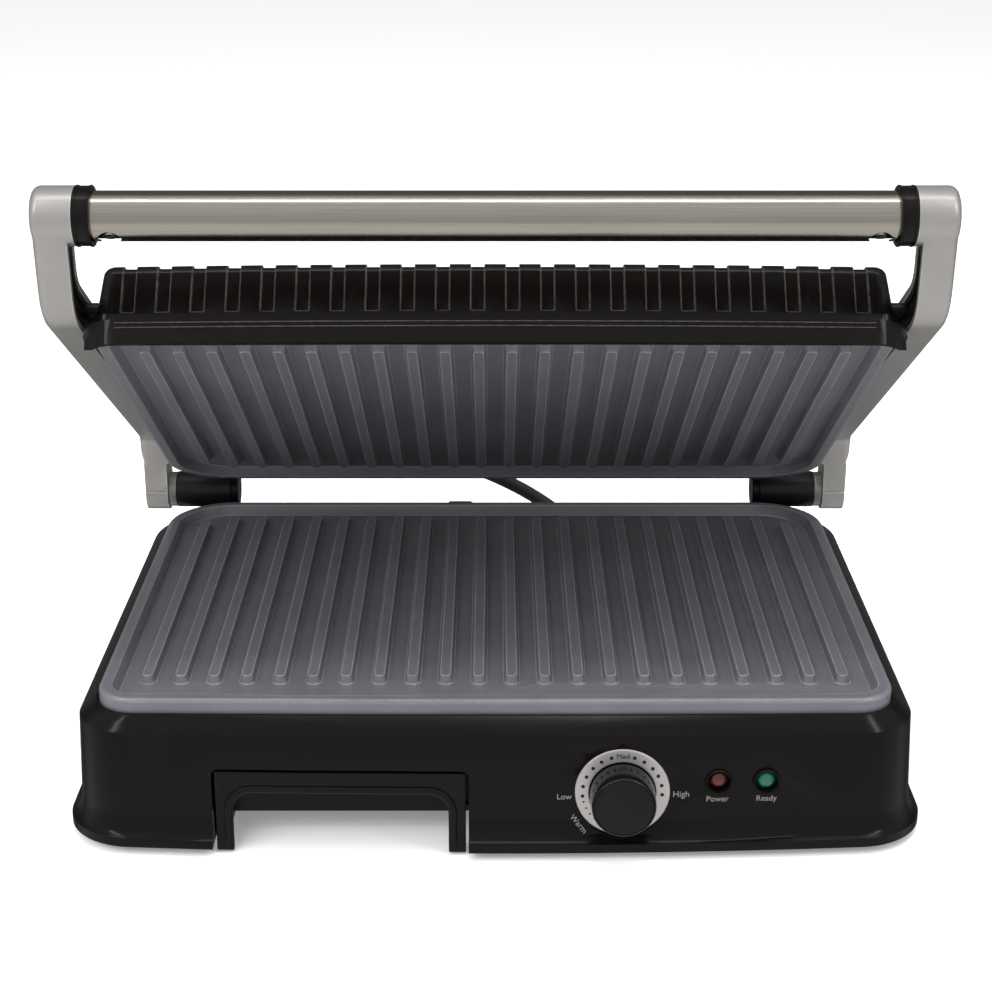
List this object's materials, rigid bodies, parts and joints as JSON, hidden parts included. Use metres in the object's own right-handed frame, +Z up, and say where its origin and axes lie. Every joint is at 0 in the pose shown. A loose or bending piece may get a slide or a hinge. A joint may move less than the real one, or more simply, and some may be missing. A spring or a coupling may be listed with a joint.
{
  "type": "panini press",
  "caption": "Contact grill with ribbed plates, a floating fluted lid on two arms with a tube handle, a sliding drip tray and a dial control.",
  "frame": {"origin": "centre of the overall box on the table, under the feet, with the lid at its rest opening", "axes": "+X to the user's right along the handle, +Y to the back, +Z up"},
  "size_m": [0.3336, 0.3016, 0.2451],
  "materials": {
    "plate_coating": "cast aluminium with a satin grey ceramic coating",
    "gloss_black": "moulded gloss brown-black plastic",
    "bezel_black": "moulded black plastic, satin gloss",
    "inner_black": "moulded black plastic, fine texture",
    "hinge_black": "black painted die-cast zinc",
    "arm_silver": "silver painted die-cast metal",
    "brushed_handle": "warm brushed stainless steel",
    "dial_silver": "brushed aluminium ring",
    "knob_black": "moulded black plastic",
    "lens_red": "translucent red lamp lens",
    "lens_green": "translucent green lamp lens",
    "socket_plastic": "heat-proof moulding",
    "screw_steel": "bright plated steel",
    "washer_grey": "grey plated steel",
    "bush_brass": "sintered brass",
    "foot_rubber": "black rubber",
    "heater_steel": "oxidised tubular heater sheath",
    "zinc_sheet": "zinc-plated sheet steel",
    "fuse_ceramic": "white ceramic housing"
  },
  "bodies": {
    "base": {"base_housing": "gloss_black", "base_bottom_cover": "inner_black", "rubber_feet": "foot_rubber", "cover_screws": "screw_steel", "lower_grill_plate": "plate_coating", "lower_heating_element": "heater_steel", "lower_element_clips": "zinc_sheet", "lower_heat_shield": "zinc_sheet", "lower_shield_standoffs": "zinc_sheet", "lower_plate_screws": "screw_steel", "lower_thermal_fuse": "fuse_ceramic", "thermostat": "socket_plastic", "thermostat_bracket": "zinc_sheet", "dial_plate": "dial_silver", "power_lamp_lens": "lens_red", "ready_lamp_lens": "lens_green", "lamp_sockets": "socket_plastic", "lamp_bezels": "bezel_black", "tray_rails": "inner_black", "hinge_bracket_left": "hinge_black", "hinge_bracket_right": "hinge_black", "hinge_cap_left": "bezel_black", "hinge_cap_right": "bezel_black", "hinge_screws": "screw_steel", "terminal_block": "socket_plastic", "cord_bushing": "foot_rubber", "link_gland_base": "foot_rubber", "link_lead": "foot_rubber", "rear_stop": "inner_black"},
    "knob": {"knob": "knob_black", "knob_cap": "knob_black", "thermostat_shaft": "screw_steel"},
    "tray": {"drip_tray": "bezel_black"},
    "arms": {"arm_left": "arm_silver", "arm_right": "arm_silver", "arm_cover_left": "inner_black", "arm_cover_right": "inner_black", "handle_sleeve": "brushed_handle", "handle_core": "inner_black", "handle_collar_left": "inner_black", "handle_collar_right": "inner_black", "handle_screws": "screw_steel", "hinge_pin_left": "screw_steel", "hinge_pin_right": "screw_steel", "hinge_washer_left": "washer_grey", "hinge_washer_right": "washer_grey", "pivot_pin_left": "hinge_black", "pivot_pin_right": "hinge_black"},
    "lid": {"upper_housing": "gloss_black", "upper_bezel": "bezel_black", "upper_grill_plate": "plate_coating", "upper_heating_element": "heater_steel", "upper_element_clips": "zinc_sheet", "upper_heat_shield": "zinc_sheet", "upper_shield_standoffs": "zinc_sheet", "upper_plate_screws": "screw_steel", "upper_thermal_fuse": "fuse_ceramic", "pivot_bush_left": "bush_brass", "pivot_bush_right": "bush_brass", "link_gland_lid": "foot_rubber"}
  },
  "joints": [
    {"name": "lid_open", "type": "hinge", "parent": "base", "child": "arms", "pos_m": [0, 0.10335, 0.0618], "axis": [-1, 0, 0], "range_deg": [-33, 67], "deforming": ["link_lead"]},
    {"name": "lid_float", "type": "hinge", "parent": "arms", "child": "lid", "pos_m": [0, -0.06781, 0.19299], "axis": [1, 0, 0], "range_deg": [0, 8], "deforming": ["link_lead"]},
    {"name": "knob_turn", "type": "hinge", "parent": "base", "child": "knob", "pos_m": [0.0474, -0.15065, 0.0263], "axis": [0, -1, 0], "range_deg": [-94, 137]},
    {"name": "tray_slide", "type": "slide", "parent": "base", "child": "tray", "axis": [0, -1, 0], "range_m": [0, 0.12]}
  ]
}
